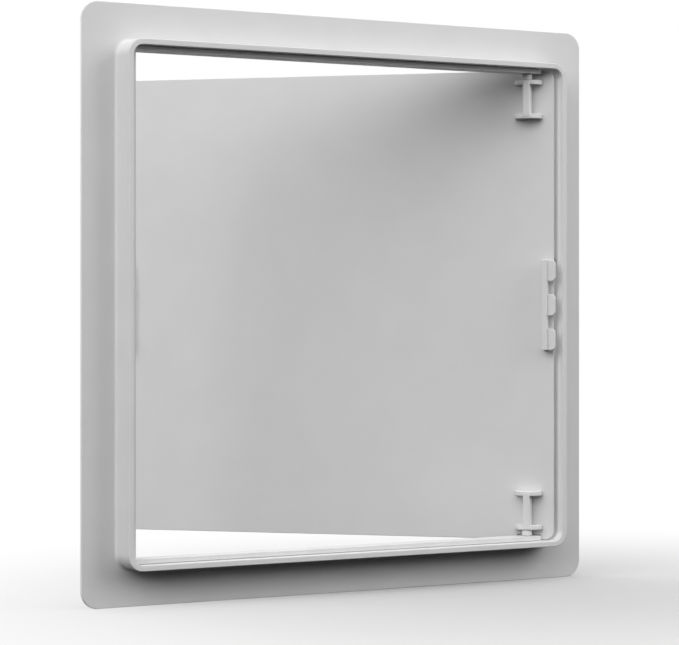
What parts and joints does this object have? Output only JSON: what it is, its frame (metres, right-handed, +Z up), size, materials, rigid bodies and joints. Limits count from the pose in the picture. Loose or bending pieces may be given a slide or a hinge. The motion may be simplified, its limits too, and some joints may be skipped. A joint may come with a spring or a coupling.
{
  "type": "ceiling access panel",
  "caption": "White plastic ceiling access panel: square flange and collar with a flush hinged door that opens into the room.",
  "frame": {"origin": "middle of the collar, on the back face of the flange, where the panel meets the ceiling board", "axes": "+Y out of the room, into the opening; +Z up along the hinge as the panel stands in the picture; +X from the hinge towards the latch side"},
  "size_m": [0.4064, 0.2498, 0.4064],
  "materials": {
    "frame_plastic": "satin moulded white",
    "door_plastic": "satin moulded white",
    "pin_plastic": "smooth moulded white"
  },
  "bodies": {
    "frame": {"flange_frame": "frame_plastic", "stop_rail_top": "frame_plastic", "stop_rail_bottom": "frame_plastic", "stop_rail_latch_side": "frame_plastic"},
    "door": {"door_panel": "door_plastic", "hinge_lug_top": "door_plastic", "hinge_lug_bottom": "door_plastic", "hinge_pin_top": "pin_plastic", "hinge_pin_bottom": "pin_plastic", "hinge_side_comb": "door_plastic", "latch_comb": "door_plastic"}
  },
  "joints": [
    {"name": "door_hinge", "type": "hinge", "parent": "frame", "child": "door", "pos_m": [-0.1512, 0.00665, 0], "axis": [0, 0, -1], "range_deg": [-45, 45]}
  ]
}
